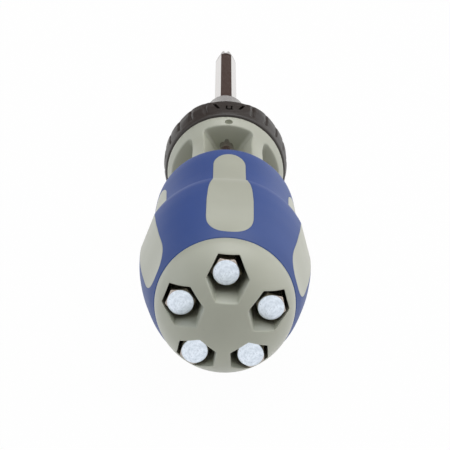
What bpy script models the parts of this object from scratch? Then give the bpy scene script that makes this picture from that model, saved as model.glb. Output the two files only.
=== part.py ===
"""Ratcheting multi-bit screwdriver that stores five long bits in its handle.

The tool lies with its axis level along +Y, tip forward, one grip pad straight up.
Sizes are in millimetres. A station is a distance along the axis from the butt rim,
and a clock angle is counted from straight up, clockwise as seen from behind.
"""
from math import atan2, cos, hypot, pi, radians, sin, sqrt, tan

import bmesh
import bpy
from mathutils import Matrix, Vector

MM = 0.001
FIT = 0.3                      # gap left between pieces that touch

# The whole tool
BUTT_END = -15.6
BIT_TIP = 238.0
GRIP_RADIUS = 21.45
MIDDLE = (BUTT_END + BIT_TIP) / 2

# Bits and their storage
HEX_FLATS = 6.35               # a quarter inch
BIT_LENGTH = 100.0
DRIVER_TAPER = 12.5            # from the end of the hexagon to the tip
STORED_TAPER = 23.0
BIT_COUNT = 5
STORE_CIRCLE = 10.45           # radius that the storage channels lie on
CHANNEL_FLATS = 8.7
STORED_TAIL = -7.3
STORED_TURN = 2.0              # how far each stored bit is turned in its channel
DRIVER_WING = 2.45             # radius of the driver bit's cross
WING_TURN = 45.0               # the stored cross bit's wings, from the driver bit's
PITCH = 360 / BIT_COUNT

# Grip
GRIP_SIDES = 40
SLEEVE_START = FIT
SLEEVE_END = 67.0
SLEEVE_BORE = 16.0
RIM_RADIUS = 16.7
BUTT_FULLNESS = 1.8            # an ellipse's exponent is 2
# station, radius, half width of a pad there if its top is flat
GRIP_ROWS = ((SLEEVE_START, 17.0, None), (4.0, 18.25, 4.3), (10.3, 19.6, 5.7), (16.8, 20.7, 5.7),
             (23.5, 21.35, 5.4), (27.5, GRIP_RADIUS, 4.9), (31.0, 21.1, 4.35), (32.4, 20.65, 4.3),
             (34.2, 19.6, None), (36.2, 18.9, None), (39.5, 18.6, None), (44.0, 18.55, None),
             (50.0, 18.7, None), (57.0, 18.9, None), (61.0, 18.75, None), (64.0, 17.95, None),
             (SLEEVE_END, 16.5, None))
PAD_REACH = 24.0               # clock angle, from a pad's middle, that its flat top is drawn out to
PAD_REAR = 2.0
PAD_REAR_HALF = 5.7
PAD_REAR_REACH = 8.0
PAD_BLUNT = 2.4
PAD_SIDES = ((5.7, 17.0), (5.59, 20.0), (5.4, 24.0), (5.05, 27.0), (4.57, 29.5), (4.33, 31.0), (4.22, 34.0),
             (4.2, 43.0))      # half width, station
PAD_FRONT = 57.2
PAD_FRONT_HALF = 4.2
PAD_FRONT_REACH = 7.2

# Neck
CAGE_START = SLEEVE_END + FIT
WINDOW_START = 71.5
WINDOW_END = 94.7
WINDOW_ROUND = 0.9
DIMPLE_STATION = 96.3
DIMPLE_RADIUS = 1.15
FLANGE_FACE = 99.2
WEB_HALF = 2.1
WEB_RADIUS = 14.3
HUB_RADIUS = 5.2
SPIGOT_START = 50.0
SPIGOT_RADIUS = 3.7

# Ratchet
HOUSING_START = FLANGE_FACE + FIT
HOUSING_FLOOR = 101.5
HOUSING_END = 110.7
HOUSING_RADIUS = 14.4
TRACK_RADIUS = 13.6            # the groove that the ring's cams run in
GEAR_TEETH = 24
GEAR_TIP = 8.5
GEAR_ROOT = 7.3
GEAR_START = 102.8
GEAR_END = 109.2
GEAR_WELL = 8.9
TAIL_START = 88.0
TAIL_RADIUS = 3.0
PAWL_NOSE = 60.0               # clock angle of the right pawl's nose
PAWL_PIN = 95.0
PAWL_PIN_CIRCLE = 11.3
PIN_RADIUS = 0.9
COVER_START = 111.0
COVER_END = 112.4
COVER_RADIUS = 16.2
SCREW_CLOCKS = (0.0, 150.0, 210.0)
SCREW_CIRCLE = 11.8

# Selector ring
RING_START = 99.6
RING_END = 111.4
RING_BORE = 14.8
RING_MOUTH = 16.6              # front recess that the cover sits in
FLUTES = 24
FLUTE_DEPTH = 0.42
FLUTE_HALF = 0.2               # half a groove's width, of the pitch
FLUTE_START = 102.4
CAM_RADIUS = 13.9
CAM_CLOCK = 140.0
DETENT_STEP = 30.0
FOOT_HALVES = (0.95, 0.45)     # the mark between the two slanted strokes has a foot and two legs
FOOT_MIDDLE = 103.4
LEG_HALVES = (0.24, 1.6)
LEG_MIDDLE = 104.5
LEG_CLOCK = 2.3
STROKE_HALVES = (0.43, 2.4)    # across and along
STROKE_MIDDLE = 106.2
STROKE_CLOCK = 11.8
STROKE_SLANT = 16.0
MARK_FLOOR = 17.3

# Chuck
NOSE_RADIUS = 6.5
NOSE_END = 158.8
SOCKET_FLATS = HEX_FLATS + 2 * FIT
SOCKET_BOTTOM = 137.6
MAGNET_RADIUS = 2.7
MAGNET_START = 133.5
SNAP_STATION = 150.5

# colour, roughness, metallic
CREAM = ((0.50, 0.50, 0.40), 0.45, 0.0)
BLUE = ((0.055, 0.09, 0.27), 0.55, 0.0)
BLACK = ((0.012, 0.009, 0.008), 0.4, 0.0)
STEEL = ((0.62, 0.62, 0.63), 0.25, 1.0)
DARK_STEEL = ((0.12, 0.12, 0.13), 0.4, 1.0)
ZINC = ((0.4, 0.41, 0.42), 0.5, 1.0)
BRONZE = ((0.5, 0.3, 0.12), 0.45, 1.0)


def clear_scene():
    for old in list(bpy.data.objects):
        bpy.data.objects.remove(old, do_unlink=True)


def material(name, finish):
    colour, roughness, metallic = finish
    made = bpy.data.materials.new(name)
    made.use_nodes = True
    shader = made.node_tree.nodes["Principled BSDF"]
    shader.inputs["Base Color"].default_value = (*colour, 1.0)
    shader.inputs["Roughness"].default_value = roughness
    shader.inputs["Metallic"].default_value = metallic
    return made


def polar(clock, radius):
    """A point across the axis, from its clock angle and its radius."""
    return radius * sin(radians(clock)), radius * cos(radians(clock))


def stand(name, bm, finish=None, pivot=(0.0, 0.0)):
    """Make an object of a mesh drawn in the tool's frame, with its origin at pivot across the axis."""
    bmesh.ops.recalc_face_normals(bm, faces=bm.faces)
    shift = Matrix.Translation((-pivot[0], 0.0, -pivot[1]))
    bmesh.ops.transform(bm, matrix=Matrix.Scale(MM, 4) @ shift, verts=bm.verts)
    mesh = bpy.data.meshes.new(name)
    bm.to_mesh(mesh)
    bm.free()
    mesh.shade_smooth()
    mesh.set_sharp_from_angle(angle=radians(35))
    made = bpy.data.objects.new(name, mesh)
    bpy.context.scene.collection.objects.link(made)
    made.location = Vector((pivot[0], -MIDDLE, GRIP_RADIUS + pivot[1])) * MM
    if finish:
        mesh.materials.append(material(name, finish))
    else:
        made.hide_render = True
        made.display_type = "WIRE"
    return made


def combine(target, tool, operation="DIFFERENCE"):
    """Cut a guide from the target, join it on, or keep what they share."""
    step = target.modifiers.new(operation.title(), "BOOLEAN")
    step.operation = operation
    step.object = tool


def turned(outline, sides):
    """Turn a closed outline of (station, radius) about the axis."""
    bm = bmesh.new()
    verts = [bm.verts.new((0.0, station, radius)) for station, radius in outline]
    edges = [bm.edges.new((a, b)) for a, b in zip(verts, verts[1:] + verts[:1])]
    bmesh.ops.spin(bm, geom=verts + edges, cent=(0, 0, 0), axis=(0, 1, 0), angle=2 * pi,
                   steps=sides, use_merge=True)
    bmesh.ops.remove_doubles(bm, verts=bm.verts, dist=0.0001)
    bmesh.ops.dissolve_degenerate(bm, dist=0.0001, edges=bm.edges)
    loose = [edge for edge in bm.edges if not edge.link_faces]
    bmesh.ops.delete(bm, geom=loose, context="EDGES")
    return bm


def prism(outline, start, end, bm=None):
    """Extrude an outline of points across the axis from one station to another."""
    bm = bm or bmesh.new()
    face = bm.faces.new([bm.verts.new((x, start, z)) for x, z in outline])
    grown = bmesh.ops.extrude_face_region(bm, geom=[face])["geom"]
    verts = [item for item in grown if isinstance(item, bmesh.types.BMVert)]
    bmesh.ops.translate(bm, verts=verts, vec=(0, end - start, 0))
    return bm


def circle(radius, sides, clock=0.0, centre=(0.0, 0.0)):
    """Points of a regular polygon, the first one at the given clock angle."""
    points = [polar(clock + 360 * k / sides, radius) for k in range(sides)]
    return [(centre[0] + x, centre[1] + z) for x, z in points]


def hexagon(flats, clock=0.0, centre=(0.0, 0.0)):
    """A hexagon across its flats, with one flat facing the given clock angle."""
    return circle(flats / 2 / cos(radians(30)), 6, clock + 30, centre)


def grip_solid(sides):
    """The full outer shape of the grip.

    Its flats lie on the rows' radii and one of them is at the bottom, so that the tool rests on it.
    """
    half_side = radians(180 / sides)
    outline = [(station, radius / cos(half_side)) for station, radius, _ in GRIP_ROWS]
    outline += [(SLEEVE_END, 0.0), (SLEEVE_START, 0.0)]
    bm = turned(outline, sides)
    bmesh.ops.rotate(bm, verts=bm.verts, cent=(0, 0, 0), matrix=Matrix.Rotation(half_side, 3, "Y"))
    return bm


def pad_solid(sides):
    """The grip's outer shape with the pads' tops flat from edge to edge behind the crease."""
    tops = {round(station, 3): sqrt(radius ** 2 - half ** 2) for station, radius, half in GRIP_ROWS if half}
    bm = grip_solid(sides)
    for vert in bm.verts:
        radius = hypot(vert.co.x, vert.co.z)
        clock = (180 / pi) * atan2(vert.co.x, vert.co.z)
        off = (clock + PITCH / 2) % PITCH - PITCH / 2
        top = tops.get(round(vert.co.y, 3))
        if top and radius > 0.1 and abs(off) < PAD_REACH:
            vert.co.x *= top / cos(radians(off)) / radius
            vert.co.z *= top / cos(radians(off)) / radius
    return bm


def keyhole(grow):
    """A pad's outline as (across, station), grown all round: blunt rear end, waist, long front end."""
    side = []
    for k in range(6):
        turn = radians(18 * k)
        side.append(((PAD_REAR_HALF + grow) * sin(turn) ** (2 / PAD_BLUNT),
                     PAD_REAR + PAD_REAR_REACH - (PAD_REAR_REACH + grow) * cos(turn) ** (2 / PAD_BLUNT)))
    side += [(half + grow, station) for half, station in PAD_SIDES]
    for k in range(6):
        turn = radians(18 * k)
        side.append(((PAD_FRONT_HALF + grow) * cos(turn),
                     PAD_FRONT - PAD_FRONT_REACH + (PAD_FRONT_REACH + grow) * sin(turn)))
    return side + [(-x, s) for x, s in side[-2:0:-1]]


def keyhole_guides(name, grow):
    """Five keyhole prisms that stand out from the axis through the grip."""
    bm = bmesh.new()
    for k in range(BIT_COUNT):
        spun = Matrix.Rotation(radians(PITCH * k), 4, "Y")
        verts = [bm.verts.new(spun @ Vector((x, s, SLEEVE_BORE - 3.0))) for x, s in keyhole(grow)]
        face = bm.faces.new(verts)
        grown = bmesh.ops.extrude_face_region(bm, geom=[face])["geom"]
        tops = [item for item in grown if isinstance(item, bmesh.types.BMVert)]
        bmesh.ops.translate(bm, verts=tops, vec=spun @ Vector((0, 0, 9.0)))
    return stand(name, bm)


def channel_guides():
    """The five hexagonal storage channels, one flat of each facing outward."""
    bm = bmesh.new()
    for k in range(BIT_COUNT):
        clock = PITCH * k
        prism(hexagon(CHANNEL_FLATS, clock, polar(clock, STORE_CIRCLE)), BUTT_END - 5, WINDOW_START + 1, bm)
    return stand("channel_guides", bm)


def handle_core(channels):
    """Domed butt, plain body under the sleeve and the five pads that fill its windows."""
    dome = []
    for k in range(8):
        share = sin(radians(90 * k / 7))
        dome.append((BUTT_END * (1 - share ** BUTT_FULLNESS) ** (1 / BUTT_FULLNESS), RIM_RADIUS * share))
    body = SLEEVE_BORE - FIT
    outline = dome + [(0.0, body), (SLEEVE_END, body), (SLEEVE_END, SPIGOT_RADIUS + FIT),
                      (SPIGOT_START - FIT, SPIGOT_RADIUS + FIT), (SPIGOT_START - FIT, 0.0)]
    core = stand("handle_core", turned(outline, GRIP_SIDES), CREAM)
    pads = stand("pad_guides", pad_solid(GRIP_SIDES))
    combine(pads, keyhole_guides("pad_outlines", 0.0), "INTERSECT")
    combine(core, pads, "UNION")
    combine(core, channels)


def grip_sleeve():
    """Soft sleeve with five keyhole windows."""
    sleeve = stand("grip_sleeve", grip_solid(GRIP_SIDES), BLUE)
    bore = turned([(-5.0, 0.0), (-5.0, SLEEVE_BORE), (SLEEVE_END + 5, SLEEVE_BORE), (SLEEVE_END + 5, 0.0)],
                  GRIP_SIDES)
    combine(sleeve, stand("sleeve_bore", bore))
    combine(sleeve, keyhole_guides("sleeve_windows", FIT))


def neck_cage(channels):
    """Spigot, collar, five webs and the flange with its pointer dimple and peg holes."""
    outline = [(SPIGOT_START, 0.0), (SPIGOT_START, SPIGOT_RADIUS), (CAGE_START, SPIGOT_RADIUS),
               (CAGE_START, SLEEVE_BORE - FIT), (CAGE_START + 2.2, SLEEVE_BORE - FIT),
               (CAGE_START + 3.6, WEB_RADIUS), (88.0, WEB_RADIUS), (92.0, 14.75), (95.0, 15.7), (97.2, 16.5),
               (FLANGE_FACE - 0.6, 16.9), (FLANGE_FACE, 16.9), (FLANGE_FACE, TAIL_RADIUS + FIT),
               (TAIL_START - FIT, TAIL_RADIUS + FIT), (TAIL_START - FIT, 0.0)]
    cage = stand("neck_cage", turned(outline, GRIP_SIDES), CREAM)
    combine(cage, channels)

    windows = bmesh.new()
    slope = tan(radians(PITCH / 2))
    offset = WEB_HALF / cos(radians(PITCH / 2))
    outer = 22.0
    for k in range(BIT_COUNT):
        pocket = prism([(HUB_RADIUS * slope - offset, HUB_RADIUS), (outer * slope - offset, outer),
                        (offset - outer * slope, outer), (offset - HUB_RADIUS * slope, HUB_RADIUS)],
                       WINDOW_START, WINDOW_END)
        ends = [edge for edge in pocket.edges
                if abs(edge.verts[0].co.y - edge.verts[1].co.y) < 0.001 and
                edge.verts[0].co.z * edge.verts[1].co.z > 0 and
                abs(edge.verts[0].co.x - edge.verts[1].co.x) > 3 and
                edge.verts[0].co.x * edge.verts[1].co.x > 0]
        bmesh.ops.bevel(pocket, geom=ends, offset=WINDOW_ROUND, segments=3, profile=0.5, affect="EDGES")
        bmesh.ops.rotate(pocket, verts=pocket.verts, cent=(0, 0, 0),
                         matrix=Matrix.Rotation(radians(PITCH * k), 3, "Y"))
        held = bpy.data.meshes.new("pocket")
        pocket.to_mesh(held)
        pocket.free()
        windows.from_mesh(held)
        bpy.data.meshes.remove(held)
    combine(cage, stand("window_guides", windows))

    marks = bmesh.new()
    for clock in (60.0, 180.0, 300.0):
        prism(circle(1.8, 16, centre=polar(clock, 9.0)), FLANGE_FACE - 1.8, FLANGE_FACE + 1, marks)
    dimple = bmesh.ops.create_cone(marks, cap_ends=True, segments=16, radius1=DIMPLE_RADIUS,
                                   radius2=DIMPLE_RADIUS, depth=3.0)
    bmesh.ops.translate(marks, verts=dimple["verts"], vec=(0, DIMPLE_STATION, 17.2))
    combine(cage, stand("flange_holes", marks))


def sector(first, last, inner, outer, steps=6):
    """Points round a slice of a ring between two clock angles."""
    clocks = [first + (last - first) * k / steps for k in range(steps + 1)]
    return [polar(clock, outer) for clock in clocks] + [polar(clock, inner) for clock in reversed(clocks)]


def mirrored(points):
    return [(-x, z) for x, z in reversed(points)]


def ratchet_housing():
    """Die-cast body: gear well, two pawl pockets, detent slot, three pegs at the back."""
    outline = [(HOUSING_START, TAIL_RADIUS + FIT), (HOUSING_START, HOUSING_RADIUS),
               (102.6, HOUSING_RADIUS), (103.0, TRACK_RADIUS), (108.6, TRACK_RADIUS), (109.0, HOUSING_RADIUS),
               (HOUSING_END, HOUSING_RADIUS), (HOUSING_END, GEAR_WELL), (HOUSING_FLOOR, GEAR_WELL),
               (HOUSING_FLOOR, TAIL_RADIUS + FIT)]
    housing = stand("ratchet_housing", turned(outline, 40), ZINC)
    pockets = sector(51.0, 124.0, 8.0, 16.0)
    cuts = prism(pockets, HOUSING_FLOOR, HOUSING_END + 1)
    prism(mirrored(pockets), HOUSING_FLOOR, HOUSING_END + 1, cuts)
    prism([(-3.6, -12.0), (3.6, -12.0), (3.6, -16.0), (-3.6, -16.0)], 103.2, 108.4, cuts)
    for clock in SCREW_CLOCKS:
        prism(circle(1.1, 12, centre=polar(clock, SCREW_CIRCLE)), 103.6, HOUSING_END + 1, cuts)
    combine(housing, stand("housing_pockets", cuts))
    holes = bmesh.new()
    for side in (-1, 1):
        prism(circle(PIN_RADIUS + FIT, 12, centre=polar(side * PAWL_PIN, PAWL_PIN_CIRCLE)), 100.2,
              HOUSING_FLOOR + 1, holes)
    combine(housing, stand("pin_holes", holes))
    pegs = bmesh.new()
    for clock in (60.0, 180.0, 300.0):
        prism(circle(1.5, 16, centre=polar(clock, 9.0)), FLANGE_FACE - 1.5, HOUSING_START + 0.5, pegs)
    combine(housing, stand("peg_guides", pegs), "UNION")


def housing_cover():
    """Front plate over gear and pawls; its edge keeps the selector ring on."""
    outline = [(COVER_START, NOSE_RADIUS + 0.4), (COVER_START, COVER_RADIUS),
               (COVER_END - 0.4, COVER_RADIUS), (COVER_END, COVER_RADIUS - 0.4), (COVER_END, NOSE_RADIUS + 0.4)]
    cover = stand("housing_cover", turned(outline, 40), BLACK)
    holes = bmesh.new()
    for clock in SCREW_CLOCKS:
        prism(circle(1.1, 12, centre=polar(clock, SCREW_CIRCLE)), COVER_START - 1, COVER_END + 1, holes)
    combine(cover, stand("cover_holes", holes))


def cover_screws():
    """Three pan-head screws with a cross recess."""
    head = COVER_END + FIT
    arm, half = 0.9, 0.18
    corner = [(-arm, -half), (-half, -half), (-half, -arm)]
    for number, clock in enumerate(SCREW_CLOCKS, 1):
        x, z = polar(clock, SCREW_CIRCLE)
        screw = turned([(104.0, 0.0), (104.0, 0.8), (head, 0.8), (head, 1.8), (head + 0.7, 1.8),
                        (head + 1.1, 1.3), (head + 1.1, 0.0)], 12)
        bmesh.ops.translate(screw, verts=screw.verts, vec=(x, 0, z))
        made = stand(f"cover_screw_{number}", screw, STEEL)
        cross = []
        for quarter in range(4):
            spin = Matrix.Rotation(radians(90 * quarter), 2)
            cross += [spin @ Vector(point) for point in corner]
        recess = prism([(x + point.x, z + point.y) for point in cross], head + 0.6, head + 2)
        combine(made, stand(f"cross_recess_{number}", recess))


def ratchet_gear():
    """Gear with even teeth, so that it can be held either way."""
    points = []
    for k in range(GEAR_TEETH):
        middle = PAWL_NOSE + 360 / GEAR_TEETH * (k + 0.5)
        points += [polar(middle - 1.2, GEAR_TIP), polar(middle + 1.2, GEAR_TIP),
                   polar(middle + 180 / GEAR_TEETH, GEAR_ROOT)]
    gear = stand("ratchet_gear", prism(points, GEAR_START, GEAR_END), STEEL)
    combine(gear, stand("gear_bore", prism(circle(5.35, 32), GEAR_START - 1, GEAR_END + 1)))


def washer(name, start, end, inner, outer, finish):
    stand(name, turned([(start, inner), (start, outer), (end, outer), (end, inner)], 24), finish)


def pawl_outline():
    """The right pawl round its pin: nose, back, tail under the ring's cam, belly over the gear."""
    shape = ((PAWL_NOSE, 7.75), (56.2, 8.95), (56.8, 10.3), (66, 10.9), (80, 12.5), (90, 13.1), (103, 13.2),
             (118, 13.3), (118, 12.0), (104, 9.9), (90, 9.35), (75, 9.15), (63.8, 8.95))
    return [polar(clock, radius) for clock, radius in shape]


def pawl(side, name):
    outline = pawl_outline() if side > 0 else mirrored(pawl_outline())
    pivot = polar(side * PAWL_PIN, PAWL_PIN_CIRCLE)
    made = stand(name, prism(outline, GEAR_START, GEAR_END), STEEL, pivot)
    hole = prism(circle(PIN_RADIUS + FIT, 16, centre=pivot), HOUSING_FLOOR - 1, HOUSING_END + 1)
    combine(made, stand(name + "_hole", hole))


def pawl_pin(side, name):
    pivot = polar(side * PAWL_PIN, PAWL_PIN_CIRCLE)
    stand(name, prism(circle(PIN_RADIUS, 16, centre=pivot), 100.5, HOUSING_END), STEEL)


def strip(points, thick):
    """A thin bent strip that follows points across the axis."""
    near, far = [], []
    for index, here in enumerate(points):
        before = points[max(index - 1, 0)]
        after = points[min(index + 1, len(points) - 1)]
        along = Vector((after[0] - before[0], after[1] - before[1])).normalized()
        near.append((here[0] - along.y * thick / 2, here[1] + along.x * thick / 2))
        far.append((here[0] + along.y * thick / 2, here[1] - along.x * thick / 2))
    return near + far[::-1]


def leaf_springs():
    """Two leaves that press the pawls in, and the leaf that clicks into the ring."""
    leaf = [polar(52.6, 9.6), polar(53.2, 11.0), polar(54.5, 12.2), polar(58.5, 12.6), polar(64.0, 12.1),
            polar(68.0, 11.6)]
    stand("pawl_spring_right", prism(strip(leaf, 0.35), 103.5, 108.5), DARK_STEEL)
    stand("pawl_spring_left", prism(mirrored(strip(leaf, 0.35)), 103.5, 108.5), DARK_STEEL)
    click = [(-3.1, -12.5), (-2.3, -12.7), (-0.8, -14.2), (0.0, -14.75), (0.8, -14.2), (2.3, -12.7),
             (3.1, -12.5)]
    stand("selector_detent_spring", prism(strip(click, 0.35), 104.0, 107.6), DARK_STEEL)


def selector_ring():
    """Fluted ring with cams and notches inside and three plain marks on its smooth top."""
    profile = ((RING_START, 17.05), (RING_START + 0.5, 17.4), (FLUTE_START, 17.75), (FLUTE_START + 1.4, 17.94),
               (106.5, 18.12), (RING_END - 0.8, 18.12), (RING_END, 17.65))
    outline = list(profile) + [(RING_END, RING_MOUTH), (HOUSING_END, RING_MOUTH), (HOUSING_END, RING_BORE),
                               (RING_START, RING_BORE)]
    sides = FLUTES * 4
    bm = turned(outline, sides)
    pitch = 360 / FLUTES
    for vert in bm.verts:
        radius = hypot(vert.co.x, vert.co.z)
        clock = (180 / pi) * atan2(vert.co.x, vert.co.z)
        fluted = FLUTE_START + 0.5 < vert.co.y < RING_END - 0.1 and radius > RING_MOUTH + 0.5
        if not fluted or abs(clock) < pitch * 1.4:
            continue
        off = abs((clock / pitch) % 1 - 0.5)
        if off < FLUTE_HALF:
            sunk = FLUTE_DEPTH * (0.5 + 0.5 * cos(pi * off / FLUTE_HALF))
            vert.co.x *= 1 - sunk / radius
            vert.co.z *= 1 - sunk / radius
    ring = stand("selector_ring", bm, BLACK)

    cams = bmesh.new()
    for side in (-1, 1):
        lobe = sector(CAM_CLOCK - 7, CAM_CLOCK + 7, CAM_RADIUS, RING_BORE + 0.5, 3)
        prism(lobe if side > 0 else mirrored(lobe), 103.4, 108.2, cams)
    combine(ring, stand("cam_guides", cams), "UNION")

    cuts = bmesh.new()
    for turn in (-DETENT_STEP, 0.0, DETENT_STEP):
        notch = [(-1.5, -14.0), (-1.5, -14.5), (-0.6, -15.5), (0.6, -15.5), (1.5, -14.5), (1.5, -14.0)]
        prism(notch, 103.6, 108.0, cuts)
        bmesh.ops.rotate(cuts, verts=cuts.verts[-12:], cent=(0, 0, 0),
                         matrix=Matrix.Rotation(radians(turn), 3, "Y"))
    symbols = ((FOOT_HALVES, FOOT_MIDDLE, 0.0, 0.0),
               (LEG_HALVES, LEG_MIDDLE, -LEG_CLOCK, 0.0),
               (LEG_HALVES, LEG_MIDDLE, LEG_CLOCK, 0.0),
               (STROKE_HALVES, STROKE_MIDDLE, -STROKE_CLOCK, STROKE_SLANT),
               (STROKE_HALVES, STROKE_MIDDLE, STROKE_CLOCK, -STROKE_SLANT))
    combine(ring, stand("ring_cuts", cuts))
    for number, ((half, reach), middle, clock, slant) in enumerate(symbols, 1):
        block = bmesh.new()
        spun = Matrix.Rotation(radians(clock), 4, "Y")
        placed = spun @ Matrix.Translation((0, middle, MARK_FLOOR)) @ Matrix.Rotation(radians(slant), 4, "Z")
        corners = ((-half, -reach), (half, -reach), (half, reach), (-half, reach))
        face = block.faces.new([block.verts.new(placed @ Vector((x, s, 0))) for x, s in corners])
        grown = bmesh.ops.extrude_face_region(block, geom=[face])["geom"]
        tops = [item for item in grown if isinstance(item, bmesh.types.BMVert)]
        bmesh.ops.translate(block, verts=tops, vec=spun @ Vector((0, 0, 2.0)))
        combine(ring, stand(f"ring_mark_{number}", block))


def drive_spindle():
    """Journal, gear seat and chuck nose with a hexagonal socket."""
    outline = [(TAIL_START, 0.0), (TAIL_START, TAIL_RADIUS), (GEAR_START - 1.0, TAIL_RADIUS),
               (GEAR_START - 1.0, 5.0), (109.5, 5.0), (109.5, NOSE_RADIUS), (NOSE_END - 0.7, NOSE_RADIUS),
               (NOSE_END, NOSE_RADIUS - 0.7), (NOSE_END, 0.0)]
    spindle = stand("drive_spindle", turned(outline, 32), STEEL)
    combine(spindle, stand("socket_guide", prism(hexagon(SOCKET_FLATS), SOCKET_BOTTOM, NOSE_END + 1)))
    inside = turned([(MAGNET_START - FIT, 0.0), (MAGNET_START - FIT, MAGNET_RADIUS + FIT),
                     (SOCKET_BOTTOM + 1, MAGNET_RADIUS + FIT), (SOCKET_BOTTOM + 1, 0.0)], 24)
    combine(spindle, stand("magnet_pocket", inside))
    groove = turned([(SNAP_STATION - 0.9, 3.0), (SNAP_STATION - 0.9, 4.8), (SNAP_STATION + 0.9, 4.8),
                     (SNAP_STATION + 0.9, 3.0)], 24)
    combine(spindle, stand("snap_groove", groove))
    stand("chuck_magnet", turned([(MAGNET_START, 0.0), (MAGNET_START, MAGNET_RADIUS),
                                  (137.4, MAGNET_RADIUS), (137.4, 0.0)], 24), STEEL)
    ring = sector(25.0, 335.0, 3.98, 4.5, 20)
    stand("bit_snap_ring", prism(ring, SNAP_STATION - 0.55, SNAP_STATION + 0.55), DARK_STEEL)


def shank(tail, shoulder, centre, clock):
    """A bit's hexagon with bevelled ends, and the turned shape that trims it."""
    bar = prism(hexagon(HEX_FLATS, clock, centre), tail, shoulder)
    corner = HEX_FLATS / 2 / cos(radians(30)) + 0.03
    trim = turned([(tail, 0.0), (tail, 3.0), (tail + 0.7, corner), (shoulder - 1.2, corner),
                   (shoulder + 0.4, 2.9), (shoulder + 0.4, 0.0)], 18)
    bmesh.ops.translate(trim, verts=trim.verts, vec=(centre[0], 0, centre[1]))
    return bar, trim


def neck(shoulder, end, radius, centre):
    """The round part between the hexagon and the tip."""
    bm = turned([(shoulder - 1, 0.0), (shoulder - 1, 2.75), (shoulder + 2.5, 2.75), (shoulder + 6, radius + 0.1),
                 (end, radius), (end, 0.0)], 12)
    bmesh.ops.translate(bm, verts=bm.verts, vec=(centre[0], 0, centre[1]))
    return bm


def loft(rings):
    """Skin a stack of equal-sided outlines, each given with its station, and close the ends."""
    bm = bmesh.new()
    rows = [[bm.verts.new((x, station, z)) for x, z in outline] for station, outline in rings]
    for low, high in zip(rows, rows[1:]):
        for a in range(len(low)):
            b = (a + 1) % len(low)
            bm.faces.new((low[a], low[b], high[b], high[a]))
    bm.faces.new(rows[0])
    bm.faces.new(rows[-1])
    return bm


def cross_ring(radius, inset, clock, centre):
    """Four wings with valleys between them, one valley facing the clock angle."""
    points = []
    for k in range(4):
        wing = clock + 45 + 90 * k
        points += [polar(wing - 12, radius), polar(wing + 12, radius), polar(wing + 45, inset)]
    return [(centre[0] + x, centre[1] + z) for x, z in points]


def cross_tip(tip, centre, clock, size=2.3, blunt=0.42):
    return loft([(tip - 9.0, cross_ring(size, size * 0.80, clock, centre)),
                 (tip - 5.5, cross_ring(size, size * 0.45, clock, centre)),
                 (tip - 2.6, cross_ring(size * 0.96, size * 0.3, clock, centre)),
                 (tip, cross_ring(size * blunt, size * 0.22, clock, centre))])


def flat_tip(tip, centre, clock, width):
    def blade(half, thick):
        spin = Matrix.Rotation(-radians(clock), 2)
        spots = [spin @ Vector(p) for p in ((-half, -thick), (half, -thick), (half, thick), (-half, thick))]
        return [(centre[0] + p.x, centre[1] + p.y) for p in spots]
    return loft([(tip - 12.0, blade(1.7, 1.6)), (tip - 6.0, blade(width / 2, 0.9)),
                 (tip, blade(width / 2, 0.45))])


def star_tip(tip, centre, clock):
    points = []
    for k in range(6):
        points += [polar(clock + 60 * k - 9, 1.95), polar(clock + 60 * k + 9, 1.95), polar(clock + 60 * k + 30, 1.45)]
    ring = [(centre[0] + x, centre[1] + z) for x, z in points]
    return prism(ring, tip - 9.0, tip)


def square_tip(tip, centre, clock):
    return loft([(tip - 9.0, circle(2.5, 4, clock, centre)), (tip, circle(2.2, 4, clock, centre))])


def bit(name, tail, taper, centre, clock, working_end, reach, radius):
    """One 100 mm bit: hexagon, neck and tip in one piece, its origin on its own centre line."""
    tip = tail + BIT_LENGTH
    bar, trim = shank(tail, tip - taper, centre, clock)
    made = stand(name, bar, STEEL, centre)
    combine(made, stand(name + "_trim", trim), "INTERSECT")
    combine(made, stand(name + "_neck", neck(tip - taper, tip - reach, radius, centre)), "UNION")
    combine(made, stand(name + "_tip", working_end(tip, centre, clock)), "UNION")


def bits():
    """The bit in the chuck and the five in the handle, which lie low in their loose channels."""
    bit("driver_bit", BIT_TIP - BIT_LENGTH, DRIVER_TAPER, (0.0, 0.0), 0.0,
        lambda *at: cross_tip(*at, DRIVER_WING), 7.5, DRIVER_WING)
    # name, slack across and up, working end, its length, neck radius there
    stored = (("stored_bit_cross", (-0.4, 0.4), lambda tip, at, clock: cross_tip(tip, at, clock + WING_TURN),
               7.5, 2.35),
              ("stored_bit_flat_narrow", (0.55, -0.4), lambda *at: flat_tip(*at, 3.6), 11.0, 2.3),
              ("stored_bit_star", (0.4, -0.75), star_tip, 8.0, 2.0),
              ("stored_bit_square", (-0.4, -0.75), square_tip, 8.0, 2.3),
              ("stored_bit_flat_wide", (-0.55, -0.4), lambda *at: flat_tip(*at, 5.5), 11.0, 2.3))
    for place, (name, slack, working_end, reach, radius) in enumerate(stored):
        clock = PITCH * place
        x, z = polar(clock, STORE_CIRCLE)
        bit(name, STORED_TAIL, STORED_TAPER, (x + slack[0], z + slack[1]), clock + STORED_TURN, working_end,
            reach, radius)


clear_scene()
channels = channel_guides()
handle_core(channels)
grip_sleeve()
neck_cage(channels)
ratchet_housing()
housing_cover()
cover_screws()
ratchet_gear()
washer("thrust_washer_rear", HOUSING_FLOOR + FIT, GEAR_START - FIT, 5.3, 8.2, BRONZE)
washer("thrust_washer_front", GEAR_END + FIT, 110.4, 6.8, 8.4, BRONZE)
pawl(1, "pawl_right")
pawl(-1, "pawl_left")
pawl_pin(1, "pawl_pin_right")
pawl_pin(-1, "pawl_pin_left")
leaf_springs()
selector_ring()
drive_spindle()
bits()
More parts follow.
